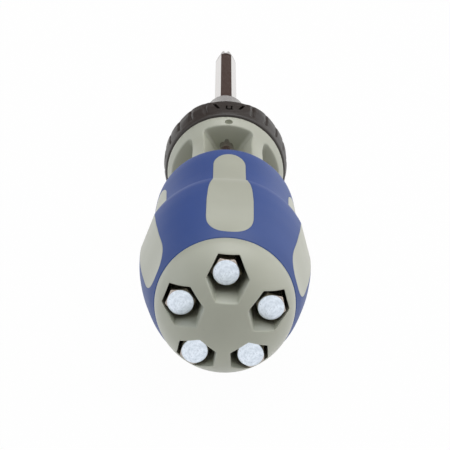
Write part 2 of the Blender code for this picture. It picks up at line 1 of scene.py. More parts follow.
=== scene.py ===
"""A ratcheting screwdriver with five long bits in its handle, lying on white with its butt to the viewer."""
from bisect import bisect_right
from math import asin, atan2, cos, degrees, hypot, pi, radians, sin, sqrt, tan

import bpy
from mathutils import Matrix, Vector


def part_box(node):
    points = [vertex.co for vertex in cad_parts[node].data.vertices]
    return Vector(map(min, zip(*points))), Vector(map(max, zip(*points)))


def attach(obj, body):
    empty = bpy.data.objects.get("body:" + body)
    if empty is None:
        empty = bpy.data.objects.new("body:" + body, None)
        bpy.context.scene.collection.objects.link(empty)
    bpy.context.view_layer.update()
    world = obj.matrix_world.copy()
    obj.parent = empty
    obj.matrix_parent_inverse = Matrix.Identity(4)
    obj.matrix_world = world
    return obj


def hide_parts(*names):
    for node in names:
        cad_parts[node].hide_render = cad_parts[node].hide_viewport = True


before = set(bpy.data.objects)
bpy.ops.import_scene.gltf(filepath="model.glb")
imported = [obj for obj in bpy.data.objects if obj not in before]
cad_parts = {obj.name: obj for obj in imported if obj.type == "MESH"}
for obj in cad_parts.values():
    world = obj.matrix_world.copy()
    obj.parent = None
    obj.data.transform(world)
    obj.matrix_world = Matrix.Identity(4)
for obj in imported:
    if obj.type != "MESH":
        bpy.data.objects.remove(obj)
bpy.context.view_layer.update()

# Handle core.
# One hard moulding in satin cream plastic: the domed butt with its five hexagonal mouths, the body that
# the soft sleeve is moulded over, and the five pads that fill the sleeve's windows.
MM = 0.001
SLEEVE_START = 0.3                               # from the rim to the frame's sleeve
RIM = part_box("grip_sleeve")[0].y - SLEEVE_START * MM  # station 0, the rim of the butt
AXIS = (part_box("drive_spindle")[0].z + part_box("drive_spindle")[1].z) / 2
PLACES = 5                                       # bits, windows and pads go round in fives
PITCH = 360 / PLACES
BUTT_DEPTH = 15.6
BUTT_FULLNESS = 1.8                              # an ellipse's exponent is 2
RIM_RADIUS = 16.7
BODY_RADIUS = 15.6
CORE_END = 67.0
STORE_CIRCLE = 10.45
CHANNEL_FLATS = 8.7
MOUTH_LIP = 0.35
SPIGOT_HOLE = 4.0
SPIGOT_DEPTH = 17.3
GRIP_ROWS = ((0.0, 16.85), (4.0, 18.25), (10.3, 19.6), (16.8, 20.7), (23.5, 21.35), (27.5, 21.45),
             (31.0, 21.1), (32.4, 20.65), (34.2, 19.6), (36.2, 18.9), (39.5, 18.6), (44.0, 18.55),
             (50.0, 18.7), (57.0, 18.9), (61.0, 18.75), (64.0, 17.95), (67.0, 16.5))    # station, radius
CREASE = (31.0, 36.0)
PAD_REAR_CENTRE = 10.0
PAD_REAR = (5.7, 8.0)                            # half width and reach of the blunt rear end
PAD_BLUNT = 2.4
PAD_FRONT_CENTRE = 50.0
PAD_FRONT = (4.2, 7.2)
PAD_SIDES = ((17.0, 5.7), (20.0, 5.59), (24.0, 5.4), (27.0, 5.05), (29.5, 4.57), (31.0, 4.33),
             (34.0, 4.22), (43.0, 4.2))          # station, half width
PAD_LIP = 0.07
PAD_SPINE = (9.0, 50.5)                          # where a pad's middle line starts and ends
PAD_SPREAD = (20, 40)                            # beyond these, columns fan out to the ends
CREAM = (0.515, 0.53, 0.44)


def spot(clock, station, radius):
    """A point by its clock angle round the axis, and its station and radius in millimetres."""
    turn = radians(clock)
    return Vector((radius * sin(turn) * MM, RIM + station * MM, AXIS + radius * cos(turn) * MM))


def flowing(points):
    """A smooth curve through (x, y) points that never swings past them."""
    places = [x for x, _ in points]
    heights = [y for _, y in points]
    steps = [(heights[k + 1] - heights[k]) / (places[k + 1] - places[k]) for k in range(len(points) - 1)]
    slopes = [steps[0]]
    for before, after in zip(steps, steps[1:]):
        slopes.append(0.0 if before * after <= 0 else 2 * before * after / (before + after))
    slopes.append(steps[-1])

    def height(x):
        x = min(max(x, places[0]), places[-1])
        k = min(bisect_right(places, x), len(places) - 1) - 1
        span = places[k + 1] - places[k]
        t = (x - places[k]) / span
        return (heights[k] * (1 + 2 * t) * (1 - t) ** 2 + heights[k + 1] * t * t * (3 - 2 * t) +
                span * (slopes[k] * t * (1 - t) ** 2 - slopes[k + 1] * t * t * (1 - t)))

    return height


grip_radius = flowing(GRIP_ROWS)


def grip_spot(clock, station, sunk=0.0):
    """A point of the grip's outer surface, or a little under it."""
    return spot(clock, station, grip_radius(station) - sunk)


def laid_sheet(columns, rows, place):
    """A fine grid whose points are laid on the form that place gives for each column and row."""
    bpy.ops.object.select_all(action="DESELECT")
    bpy.ops.mesh.primitive_grid_add(x_subdivisions=columns, y_subdivisions=rows, size=2)
    sheet = bpy.context.object
    for vert in sheet.data.vertices:
        vert.co = place(round((vert.co.x + 1) / 2 * columns), round((vert.co.y + 1) / 2 * rows))
    return sheet


def pick(*pieces):
    """Select these pieces alone, and make the first of them the active one."""
    bpy.ops.object.select_all(action="DESELECT")
    for piece in pieces:
        piece.select_set(True)
    bpy.context.view_layer.objects.active = pieces[0]


def in_edit_mode(piece):
    """Open a piece for editing with everything in it selected."""
    pick(piece)
    bpy.ops.object.mode_set(mode="EDIT")
    bpy.ops.mesh.select_all(action="SELECT")


def welded(name, sheets):
    """Join sheets along the edges they share, close their poles and turn their faces outwards."""
    pick(*sheets)
    bpy.ops.object.join()
    sheets[0].name = name
    in_edit_mode(sheets[0])
    bpy.ops.mesh.remove_doubles(threshold=0.002 * MM)
    bpy.ops.mesh.normals_make_consistent(inside=False)
    bpy.ops.object.mode_set(mode="OBJECT")
    return sheets[0]


def smoothed(piece, angle=35):
    """Shade a piece smooth, but for the edges that turn by more than an angle."""
    pick(piece)
    bpy.ops.object.shade_smooth_by_angle(angle=radians(angle))
    return piece


def side_and_share(column, sides):
    """Which side of a four-sided loop a column is on, and how far along it."""
    for side, count in enumerate(sides):
        if column < count:
            return side, column / count
        column -= count
    return 0, 0.0


def mix(a, b, share):
    """A value between two, by a share."""
    return a + (b - a) * share


def eased(value, low, high):
    """0 below the low value, 1 above the high one, and a smooth curve between."""
    share = min(max((value - low) / (high - low), 0.0), 1.0)
    return share * share * (3 - 2 * share)


MOUTH_SIDES = (24, 24, 8, 24)                    # columns on the outer, left, inner and right sides


def hexagon_radius(turn, flats, crisp=60):
    """Distance from a hexagon's centre to its edge, with corners that are slightly round."""
    total = sum(max(0.0, cos(radians(turn - 60 * k))) ** crisp for k in range(6))
    return flats / 2 * total ** (-1 / crisp)


def mouth_point(column, grow):
    """A point of the top channel's outline as (across, up), grown all round by a margin."""
    side, share = side_and_share(column, MOUTH_SIDES)
    turn = (30, -30, -150, -210)[side] - (60, 120, 60, 120)[side] * share
    reach = hexagon_radius(turn, CHANNEL_FLATS + 2 * grow)
    return Vector((reach * sin(radians(turn)), STORE_CIRCLE + reach * cos(radians(turn))))


def wedge_edge(column, inner, outer):
    """Clock angle and radius on the edge of a fifth of a disc."""
    side, share = side_and_share(column, MOUTH_SIDES)
    half = PITCH / 2
    return ((mix(half, -half, share), outer), (-half, mix(outer, inner, share)),
            (mix(-half, half, share), inner), (half, mix(inner, outer, share)))[side]


def in_fifth(first, point, station):
    """A point given as (across, up) in the top fifth, turned round to the fifth that starts at first."""
    return spot(first + degrees(atan2(point.x, point.y)), station, point.length)


def dome_station(radius):
    """Where the butt's dome, an ellipse a little fuller than a true one, is cut by a radius."""
    return -BUTT_DEPTH * max(0.0, 1 - (radius / RIM_RADIUS) ** BUTT_FULLNESS) ** (1 / BUTT_FULLNESS)


def dome_spot(first, column, share):
    """A point of the dome between a mouth's lip and the edge of its fifth, spaced evenly over the curve."""
    point = mouth_point(column, MOUTH_LIP)
    lean = asin(point.length / RIM_RADIUS)
    start = point.normalized() * lean
    clock, end_lean = wedge_edge(column, 0.0, pi / 2)
    end = Vector((sin(radians(clock)), cos(radians(clock)))) * end_lean
    here = start.lerp(end, share)
    radius = RIM_RADIUS * sin(here.length)
    return spot(first + degrees(atan2(here.x, here.y)), dome_station(radius), radius)


def wedge_place(first):
    """The rows of one fifth: front face, channel wall, mouth lip and dome."""
    face, wall, lip, dome = 4, 5, 5, 15

    def place(column, row):
        if row <= face:
            clock, radius = wedge_edge(column, SPIGOT_HOLE, BODY_RADIUS)
            edge = Vector((radius * sin(radians(clock)), radius * cos(radians(clock))))
            here = edge.lerp(mouth_point(column, 0.0), row / face)
            return in_fifth(first, here, CORE_END)
        if row <= face + wall + lip:
            rolled = radians(90) * max(0.0, (row - face - wall) / lip)
            here = mouth_point(column, MOUTH_LIP * (1 - cos(rolled)))
            station = dome_station(here.length) + MOUTH_LIP * (1 - sin(rolled))
            deep = max(0.0, 1 - (row - face) / wall)
            return in_fifth(first, here, mix(station, CORE_END, deep ** 2))
        return dome_spot(first, column, (row - face - wall - lip) / dome)

    return laid_sheet(sum(MOUTH_SIDES), face + wall + lip + dome, place)


PAD_COLUMNS = (24, 80, 24, 80)                   # front end, left side, rear end, right side


def pad_half(station):
    """Half the width of a pad at a station."""
    if station < PAD_REAR_CENTRE:
        reach = min(1.0, (PAD_REAR_CENTRE - station) / PAD_REAR[1])
        return PAD_REAR[0] * (1 - reach ** PAD_BLUNT) ** (1 / PAD_BLUNT)
    if station > PAD_FRONT_CENTRE:
        reach = min(1.0, (station - PAD_FRONT_CENTRE) / PAD_FRONT[1])
        return PAD_FRONT[0] * sqrt(1 - reach ** 2)
    return pad_waist(station)


pad_waist = flowing([(PAD_REAR_CENTRE, PAD_REAR[0]), *PAD_SIDES, (PAD_FRONT_CENTRE, PAD_FRONT[0])])


def pad_spot(first, at, sunk=0.0):
    """A point of a pad's top, which is flat from edge to edge behind the crease and round ahead of it."""
    round_top = grip_radius(at.y)
    flat_top = sqrt(round_top ** 2 - pad_half(at.y) ** 2) / cos(radians(at.x))
    return spot(first + at.x, at.y, mix(flat_top, round_top, eased(at.y, *CREASE)) - sunk)


def pad_outline():
    """A pad's outline as (across, station), from the right end of its front round to the left."""
    cap = radians(25)
    points = []
    front_corner = PAD_FRONT_CENTRE + PAD_FRONT[1] * sin(cap)
    rear_corner = PAD_REAR_CENTRE - PAD_REAR[1] * sin(cap) ** (2 / PAD_BLUNT)
    for side, count in enumerate(PAD_COLUMNS):
        for k in range(count):
            turn = mix(cap, pi - cap, k / count)
            if side == 0:
                points.append(Vector((PAD_FRONT[0] * cos(turn), PAD_FRONT_CENTRE + PAD_FRONT[1] * sin(turn))))
            elif side == 2:
                lean = abs(cos(turn)) ** (2 / PAD_BLUNT) * (-1 if turn < pi / 2 else 1)
                points.append(Vector((PAD_REAR[0] * lean,
                                      PAD_REAR_CENTRE - PAD_REAR[1] * sin(turn) ** (2 / PAD_BLUNT))))
            elif side == 1:
                station = mix(front_corner, rear_corner, k / count)
                points.append(Vector((-pad_half(station), station)))
            else:
                station = mix(rear_corner, front_corner, k / count)
                points.append(Vector((pad_half(station), station)))
    return points


def grown(loop, margin):
    """A loop of points moved outwards by a margin; the loop runs anticlockwise."""
    moved = []
    for before, here, after in zip(loop[-1:] + loop[:-1], loop, loop[1:] + loop[:1]):
        along = (after - before).normalized()
        moved.append(here + Vector((along.y, -along.x)) * margin)
    return moved


def on_grip(loop):
    """A pad's outline as (clock angle, station)."""
    return [Vector((degrees(asin(point.x / grip_radius(point.y))), point.y)) for point in loop]


def panel_edge(loop, column, start, end):
    """The point on a fifth's edge that a pad's column runs out to, straight across where it can."""
    side, share = side_and_share(column, PAD_COLUMNS)
    half = PITCH / 2
    if side == 0:
        return Vector((mix(half, -half, share), end))
    if side == 2:
        return Vector((mix(-half, half, share), start))
    rear, front = loop[PAD_COLUMNS[0] + PAD_COLUMNS[1]].y, loop[PAD_COLUMNS[0]].y
    spread_rear, spread_front = PAD_SPREAD
    station = loop[column % len(loop)].y
    if station > spread_front:
        station += (end - front) * ((station - spread_front) / (front - spread_front)) ** 2
    elif station < spread_rear:
        station -= (rear - start) * ((spread_rear - station) / (spread_rear - rear)) ** 2
    return Vector((-half if side == 1 else half, station))


pad_loop = pad_outline()
pad_edge = on_grip(pad_loop)
pad_top = on_grip(grown(pad_loop, -PAD_LIP))


def spine_point(column):
    """The point on a pad's middle line that a column runs in to."""
    return Vector((0.0, min(max(pad_loop[column % len(pad_loop)].y, PAD_SPINE[0]), PAD_SPINE[1])))


def core_panel(first):
    """The rows of one fifth of the body: pad top, rolled edge, pad wall and the body under the sleeve."""
    top, roll, wall, body = 9, 3, 2, 6

    def place(column, row):
        here = column % len(pad_loop)
        if row <= top:
            return pad_spot(first, spine_point(column).lerp(pad_top[here], (row / top) ** 0.8))
        if row <= top + roll:
            rolled = radians(90) * (row - top) / roll
            edge = pad_top[here].lerp(pad_edge[here], sin(rolled))
            return pad_spot(first, edge, PAD_LIP * (1 - cos(rolled)))
        at = pad_edge[here]
        surface = grip_spot(first + at.x, at.y, PAD_LIP)
        foot = spot(first + at.x, (surface.y - RIM) / MM, BODY_RADIUS)
        if row <= top + roll + wall:
            return surface.lerp(foot, (row - top - roll) / wall)
        out = panel_edge(pad_edge, column, 0.0, CORE_END)
        at = at.lerp(out, (row - top - roll - wall) / body)
        return spot(first + at.x, at.y, BODY_RADIUS)

    return laid_sheet(len(pad_loop), top + roll + wall + body, place)


def turned_strip(columns, outline):
    """A sheet turned round the axis from (station, radius) points."""
    return laid_sheet(columns, len(outline) - 1,
                      lambda column, row: spot(360 * column / columns, *outline[row]))


core_sheets = [wedge_place(PITCH * k) for k in range(PLACES)] + [core_panel(PITCH * k) for k in range(PLACES)]
core_sheets.append(turned_strip(24 * PLACES, [(0.0, RIM_RADIUS), (0.0, BODY_RADIUS)]))
core_sheets.append(turned_strip(8 * PLACES, [(CORE_END, SPIGOT_HOLE), (CORE_END - SPIGOT_DEPTH, SPIGOT_HOLE),
                                             (CORE_END - SPIGOT_DEPTH, 0.0)]))
core = smoothed(welded("core_moulding", core_sheets))


class Link:
    """A value inside a material, on which plain sums build further nodes."""

    def __init__(self, finish, socket):
        self.finish = finish
        self.socket = socket

    def sum(self, operation, *others):
        return self.finish.node("ShaderNodeMath", {"operation": operation}, [*others])

    def __add__(self, other):
        return self.sum("ADD", self, other)

    def __rsub__(self, other):
        return self.sum("SUBTRACT", other, self)

    def __mul__(self, other):
        return self.sum("MULTIPLY", self, other)


class Finish:
    """A material with one Principled shader, and the nodes that feed it."""

    def __init__(self, name, metallic=0.0, **fixed):
        self.material = bpy.data.materials.new(name)
        self.material.use_nodes = True
        self.tree = self.material.node_tree
        self.shader = self.tree.nodes["Principled BSDF"]
        self.set(self.shader, {"Metallic": metallic, **fixed})
        self.place = self.node("ShaderNodeTexCoord", output="Object")

    def set(self, node, values):
        pairs = values.items() if isinstance(values, dict) else enumerate(values)
        for key, value in pairs:
            if isinstance(value, Link):
                self.tree.links.new(value.socket, node.inputs[key])
            elif isinstance(value, tuple) and node.inputs[key].type == "RGBA":
                node.inputs[key].default_value = (*value, 1.0)
            else:
                node.inputs[key].default_value = value

    def node(self, kind, settings=None, values=(), output=0):
        """Any node: its settings are made first, then the values or links of its inputs."""
        made = self.tree.nodes.new(kind)
        for key, value in (settings or {}).items():
            setattr(made, key, value)
        self.set(made, values)
        return Link(self, made.outputs[output])

    def noise(self, size, detail=2.0, rough=0.5, place=None, stretch=None):
        """Cloudy noise whose lumps have about this size in millimetres."""
        place = place or self.place
        if stretch:
            place = self.node("ShaderNodeMapping", values={"Vector": place, "Scale": stretch})
        return self.node("ShaderNodeTexNoise", values={"Vector": place, "Scale": 1 / (size * MM),
                                                       "Detail": detail, "Roughness": rough})

    def blend(self, share, a, b):
        """A colour between two, by a share."""
        return self.node("ShaderNodeMix", {"data_type": "RGBA"}, {0: share, 6: a, 7: b}, output=2)

    def band(self, value, low, high, start=0.0, end=1.0):
        """Carry a value's range over to another range, held at its ends."""
        return self.node("ShaderNodeMapRange", {"interpolation_type": "SMOOTHSTEP"},
                         [value, low, high, start, end])

    def skin(self, colour, roughness, height, depth):
        """Feed the shader: colour, roughness, and a relief of a depth in millimetres."""
        bump = self.node("ShaderNodeBump", values={"Strength": 1.0, "Distance": depth * MM, "Height": height})
        self.set(self.shader, {"Base Color": colour, "Roughness": roughness, "Normal": bump})
        return self.material


def cream_plastic():
    """Satin cream plastic with a fine moulded grain, slightly uneven in tone and gloss."""
    finish = Finish("cream_plastic", **{"Coat Weight": 0.3, "Coat Roughness": 0.3})
    cloud = finish.noise(9.0, detail=3.0)
    speck = finish.noise(0.5, detail=3.0)
    tone = finish.blend(cloud, tuple(c * 0.93 for c in CREAM), tuple(c * 1.05 for c in CREAM))
    tone = finish.blend(finish.band(speck, 0.66, 0.74, 0.0, 0.25), tone, tuple(c * 0.75 for c in CREAM))
    grain = finish.noise(0.16, detail=2.0)
    return finish.skin(tone, cloud * 0.12 + 0.36, grain + cloud * 0.5, 0.012)


cream = cream_plastic()
core.data.materials.append(cream)
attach(core, "handle")
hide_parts("handle_core")

# Grip sleeve.
# A soft blue rubber skin moulded over the core: it swells at the rear, steps down at a crease half way along,
# and leaves a keyhole window for each pad. Its rear edge is rolled, and its front end draws in to the core.
SLEEVE_BORE = 16.0
SLEEVE_GAP = 0.03
SLEEVE_REAR_ROLL = 0.3
SLEEVE_END = CORE_END
BLUE = (0.033, 0.080, 0.292)

sleeve_wall = on_grip(grown(pad_loop, SLEEVE_GAP))
sleeve_lip = on_grip(grown(pad_loop, SLEEVE_GAP + PAD_LIP))


def sleeve_panel(first):
    """The rows of one fifth of the sleeve: the window's rolled lip, then out to the fifth's edge."""
    roll, skin, end_roll = 3, 19, 4

    def place(column, row):
        here = column % len(pad_loop)
        if row <= roll:
            rolled = radians(90) * row / roll
            at = sleeve_wall[here].lerp(sleeve_lip[here], 1 - cos(rolled))
            return grip_spot(first + at.x, at.y, PAD_LIP * (1 - sin(rolled)))
        out = panel_edge(sleeve_lip, column, SLEEVE_REAR_ROLL, SLEEVE_END)
        share = min(1.0, (row - roll) / skin)
        at = sleeve_lip[here].lerp(out, share ** 1.15)
        past = max(0, row - roll - skin)
        if past and at.y < SLEEVE_REAR_ROLL + 0.001:
            rolled = radians(90) * past / end_roll
            return spot(first + at.x, SLEEVE_REAR_ROLL * (1 - sin(rolled)) + 0.02,
                        grip_radius(at.y) - SLEEVE_REAR_ROLL * (1 - cos(rolled)))
        return grip_spot(first + at.x, at.y)

    return laid_sheet(len(pad_loop), roll + skin + end_roll, place)


sleeve = welded("soft_sleeve", [sleeve_panel(PITCH * k) for k in range(PLACES)])
in_edit_mode(sleeve)
bpy.ops.mesh.extrude_region_move()
bpy.ops.object.mode_set(mode="OBJECT")
for vert in sleeve.data.vertices:
    if vert.select:
        across = Vector((vert.co.x, 0, vert.co.z - AXIS)).normalized() * SLEEVE_BORE * MM
        vert.co = (across.x, vert.co.y, AXIS + across.z)
in_edit_mode(sleeve)
bpy.ops.mesh.normals_make_consistent(inside=False)
bpy.ops.object.mode_set(mode="OBJECT")
smoothed(sleeve)


def blue_rubber():
    """Soft blue rubber, matt, with a fine grain and faint lighter scuffs along the swelling."""
    finish = Finish("blue_rubber", **{"Specular IOR Level": 0.4})
    cloud = finish.noise(14.0, detail=3.0)
    scuff = finish.noise(1.2, detail=4.0, rough=0.65)
    tone = finish.blend(cloud, tuple(c * 0.93 for c in BLUE), tuple(c * 1.07 for c in BLUE))
    wear_and_tip_shade = finish.band(scuff, 0.60, 0.76, 0.0, 0.22)
    tone = finish.blend(wear_and_tip_shade, tone, tuple(c * 1.35 + 0.02 for c in BLUE))
    grain = finish.noise(0.22, detail=2.0)
    return finish.skin(tone, cloud * 0.1 + wear_and_tip_shade * 0.2 + 0.44, grain + scuff * 0.6, 0.02)


sleeve.data.materials.append(blue_rubber())
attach(sleeve, "handle")
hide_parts("grip_sleeve")

# Neck cage.
# The second cream moulding: a collar that closes the grip, five webs with a window between each pair, and
# the flange that carries the ratchet. Each window opens on a V-shaped pocket, into which one bit's tip pokes.
CAGE_START = 67.3
WINDOW_START = 71.5
WINDOW_END = 94.7
WINDOW_CORNER = 1.5
WINDOW_LIP = 0.4
FLANGE_FACE = 99.2
WEB_HALF = 2.1
HUB_RADIUS = 5.2
TAIL_BORE = 3.3
SPIGOT_RADIUS = 3.7
DIMPLE_STATION = 96.3
DIMPLE_RADIUS = 1.15
DIMPLE_CENTRE = 16.0                             # radius of its centre
TAIL_BORE_END = 87.7
SPIGOT_END = 50.0
POCKET_INSET = 1.2                               # from a window's ends to its pocket's middle line
NECK_ROWS = ((67.3, 15.55), (67.7, 15.7), (69.5, 15.7), (70.2, 15.3), (70.9, 14.4), (71.5, 14.3),
             (84.0, 14.3), (88.0, 14.35), (92.0, 14.75), (95.0, 15.7), (97.2, 16.5), (98.5, 16.85),
             (99.0, 16.88), (99.2, 16.7))        # station, radius
neck_radius = flowing(NECK_ROWS)
WINDOW_COLUMNS = (24, 32, 24, 32)                # front, left, rear, right


def web_edge(radius):
    """Clock angle, from a window's middle, where a web's flat side meets a radius."""
    return PITCH / 2 - degrees(asin(WEB_HALF / radius))


def rounded_box(half, start, end, corner, straights):
    """Points round a box with round corners, anticlockwise from the middle of its front right corner."""
    steps = 8
    points = []
    centres = ((half - corner, end - corner), (corner - half, end - corner),
               (corner - half, start + corner), (half - corner, start + corner))
    for k in range(4):
        x, s = centres[k]
        for step in range(steps):
            turn = radians(90 - 90 * (k + step / steps))
            points.append(Vector((x + corner * sin(turn), s + corner * cos(turn))))
        turn = radians(-90 * k)
        leave = Vector((x + corner * sin(turn), s + corner * cos(turn)))
        x, s = centres[(k + 1) % 4]
        reach = Vector((x + corner * sin(turn), s + corner * cos(turn)))
        points += [leave.lerp(reach, j / straights[k]) for j in range(straights[k])]
    return points[steps // 2:] + points[:steps // 2]


window_half = radians(web_edge(neck_radius(80.0))) * neck_radius(80.0)
window_box = rounded_box(window_half, WINDOW_START, WINDOW_END, WINDOW_CORNER, (16, 24, 16, 24))


def widened(point):
    """Widen a window where the neck flares, so that its sides stay on the webs' flat sides."""
    radius = neck_radius(point.y)
    return Vector((point.x / window_half * radians(web_edge(radius)) * radius, point.y))


window_loop = [widened(point) for point in window_box]
window_rim = grown(window_loop, WINDOW_LIP)


def on_neck(point, sunk=0.0):
    """(across along the surface, station) as clock angle, station and radius."""
    radius = neck_radius(point.y)
    return degrees(point.x / radius), point.y, radius - sunk


def cage_panel(first):
    """The rows of one fifth: pocket floor, pocket walls, the window's round lip and the outside."""
    floor, wall, lip, skin = 3, 8, 6, 9
    slope = tan(radians(PITCH / 2))
    hub_half = HUB_RADIUS * slope - WEB_HALF / cos(radians(PITCH / 2))

    def pocket_foot(here):
        point = window_box[here]
        x = point.x / window_half * hub_half
        return spot(first + degrees(atan2(x, HUB_RADIUS)), point.y, hypot(x, HUB_RADIUS))

    def place(column, row):
        here = column % len(window_loop)
        foot = pocket_foot(here)
        if row <= floor:
            middle = min(max(window_box[here].y, WINDOW_START + POCKET_INSET), WINDOW_END - POCKET_INSET)
            return spot(first, middle, HUB_RADIUS).lerp(foot, row / floor)
        top = spot(first + on_neck(window_loop[here])[0], *on_neck(window_loop[here], WINDOW_LIP)[1:])
        if row <= floor + wall:
            return foot.lerp(top, (row - floor) / wall)
        if row <= floor + wall + lip:
            rolled = radians(90) * (row - floor - wall) / lip
            point = window_loop[here].lerp(window_rim[here], 1 - cos(rolled))
            clock, station, radius = on_neck(point, WINDOW_LIP * (1 - sin(rolled)))
            return spot(first + clock, station, radius)
        side, share = side_and_share(column, WINDOW_COLUMNS)
        half = PITCH / 2
        clock, station, _ = on_neck(window_rim[here])
        across = ((mix(half, -half, share), FLANGE_FACE), (-half, mix(FLANGE_FACE, CAGE_START, share)),
                  (mix(-half, half, share), CAGE_START), (half, mix(CAGE_START, FLANGE_FACE, share)))[side]
        out = Vector((clock, station)).lerp(Vector(across), ((row - floor - wall - lip) / skin) ** 1.2)
        return spot(first + out.x, out.y, neck_radius(out.y))

    return laid_sheet(len(window_loop), floor + wall + lip + skin, place)


cage_sheets = [cage_panel(PITCH * k) for k in range(PLACES)]
cage_sheets.append(turned_strip(24 * PLACES, [
    (FLANGE_FACE, neck_radius(FLANGE_FACE)), (FLANGE_FACE, TAIL_BORE), (TAIL_BORE_END, TAIL_BORE),
    (TAIL_BORE_END, 0.0)]))
cage_sheets.append(turned_strip(24 * PLACES, [
    (CAGE_START, neck_radius(CAGE_START)), (CAGE_START, SPIGOT_RADIUS), (SPIGOT_END + 0.3, SPIGOT_RADIUS),
    (SPIGOT_END, SPIGOT_RADIUS - 0.3), (SPIGOT_END, 0.0)]))
cage = welded("neck_moulding", cage_sheets)


def cut_away(piece, cutters):
    """Cut shapes out of a piece for good."""
    for cutter in cutters:
        step = piece.modifiers.new("cut", "BOOLEAN")
        step.operation = "DIFFERENCE"
        step.object = cutter
        pick(piece)
        bpy.ops.object.modifier_apply(modifier=step.name)
        bpy.data.objects.remove(cutter)


def settled():
    """Apply the place, turn and scale of the primitive in hand to its mesh."""
    bpy.ops.object.transform_apply(location=True, rotation=True, scale=True)
    return bpy.context.object


def rod(clock, radius, start, end, thick, sides, turned=0.0):
    """A plain prism along the tool, to cut with or to shape further."""
    bpy.ops.object.select_all(action="DESELECT")
    middle = spot(clock, (start + end) / 2, radius)
    bpy.ops.mesh.primitive_cylinder_add(vertices=sides, radius=thick * MM, depth=(end - start) * MM,
                                        location=middle, rotation=(radians(-90), 0, 0))
    made = bpy.context.object
    bpy.ops.object.transform_apply(location=False, rotation=True, scale=True)
    made.rotation_euler = (0, radians(clock + turned), 0)
    return settled()


cut_away(cage, [rod(PITCH * k, STORE_CIRCLE, CORE_END - 1, WINDOW_START + 0.8,
                    CHANNEL_FLATS / 2 / cos(radians(30)), 6, 30) for k in range(PLACES)])
bpy.ops.object.select_all(action="DESELECT")
bpy.ops.mesh.primitive_uv_sphere_add(segments=32, ring_count=16, radius=DIMPLE_RADIUS * MM,
                                     location=spot(0, DIMPLE_STATION, DIMPLE_CENTRE))
cut_away(cage, [settled()])
smoothed(cage)
cage.data.materials.append(cream)
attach(cage, "handle")
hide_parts("neck_cage")

# Selector ring.
# A ring in brown-black plastic that snaps over the ratchet and turns 30 degrees each way. Grooves for the
# fingers fade out towards its front edge. A raised shield with a stroke, a small fork and a stroke shows
# which way it drives.
RING_START = 99.6
RING_END = 111.4
RING_ROWS = ((RING_START, 17.05), (99.75, 17.25), (100.2, 17.45), (102.6, 17.78), (103.8, 17.94),
             (106.5, 18.12), (110.6, 18.12), (111.15, 17.98), (RING_END, 17.65))        # station, radius
RING_BORE = 14.8
RING_MOUTH = 16.6
COVER_SEAT = 110.7
FLUTES = 24
FLUTE_PITCH = 360 / FLUTES
FLUTE_HALF = 2.6
FLUTE_DEPTH = 0.42
FLUTE_START = 101.9
FLUTE_RUN_IN = 1.3
FLUTE_LOSS = 0.85                                # share of a groove's depth that is lost towards the front
FLUTE_FADE = (108.5, 111.2)                      # stations between which it is lost
LOBE_CROWN = 0.06
FLANK_PROUD = 0.35                               # the ring swells a little either side of its shield
FLANK_CLOCKS = (14, 23, 32, 50)
FLANK_RISE = (103.0, 107.0)
RING_COLUMNS = FLUTES * 24
SHIELD_HALF = 20.0
SHIELD_TOP = 100.4
SHIELD_SHOULDER = 105.2
SHIELD_PROUD = 0.05
SHIELD_SLOPE = 0.35
SHIELD_FADE = 110.3                              # from here to the front edge it sinks away
MARK_FLOOR = 17.3
LEG_CLOCK = 2.3
LEG_SIZE = (0.48, 3.2)                           # across and along
STROKE_CLOCK = 11.8
STROKE_SIZE = (0.85, 4.8)
STROKE_SLANT = 16.0
# Clock angle, station, size and slant: the fork's foot and two legs, then the two strokes.
MARKS = ((0.0, 103.4, (1.9, 0.9), 0.0),
         (-LEG_CLOCK, 104.5, LEG_SIZE, 0.0),
         (LEG_CLOCK, 104.5, LEG_SIZE, 0.0),
         (-STROKE_CLOCK, 106.2, STROKE_SIZE, STROKE_SLANT),
         (STROKE_CLOCK, 106.2, STROKE_SIZE, -STROKE_SLANT))
CAM_RADIUS = 13.9
CAM_CLOCK = 140.0
CAM_HALF = 7.1
NOTCH_DEPTH = 0.65
NOTCH_HALVES = (2.0, 5.6)                        # clock angles of half its floor and half its mouth
NOTCH_STEPS = (-30, 0, 30)
BLACK = (0.015, 0.010, 0.007)
ring_radius = flowing(RING_ROWS)


def ring_surface(clock, station):
    """The ring's outside: rounded lobes between grooves, and the raised shield on top."""
    clock = (clock + 180) % 360 - 180
    radius = ring_radius(station)
    shield = 0.0
    if abs(clock) < SHIELD_HALF:
        curve = SHIELD_SHOULDER - (SHIELD_SHOULDER - SHIELD_TOP) * sqrt(1 - (clock / SHIELD_HALF) ** 2)
        inside = min(station - curve, radians(SHIELD_HALF - abs(clock)) * radius)
        shield = eased(inside, 0.0, SHIELD_SLOPE)
    lobed = abs(clock) > SHIELD_HALF
    off = abs((clock / FLUTE_PITCH) % 1 - 0.5) * FLUTE_PITCH
    along = eased(station, FLUTE_START, FLUTE_START + FLUTE_RUN_IN)
    shallow = 1 - FLUTE_LOSS * eased(station, *FLUTE_FADE)
    groove = FLUTE_DEPTH * shallow * (1 - eased(off, 0.0, FLUTE_HALF)) if lobed else 0.0
    crown = LOBE_CROWN * (1 - off / FLUTE_PITCH * 2) ** 2 if lobed else 0.0
    rise, full, fall, flat = FLANK_CLOCKS
    swell = eased(abs(clock), rise, full) * (1 - eased(abs(clock), fall, flat))
    flank = FLANK_PROUD * swell * eased(station, *FLANK_RISE)
    proud = SHIELD_PROUD * shield * (1 - eased(station, SHIELD_FADE, RING_END))
    return radius - along * (groove + crown) + flank + proud


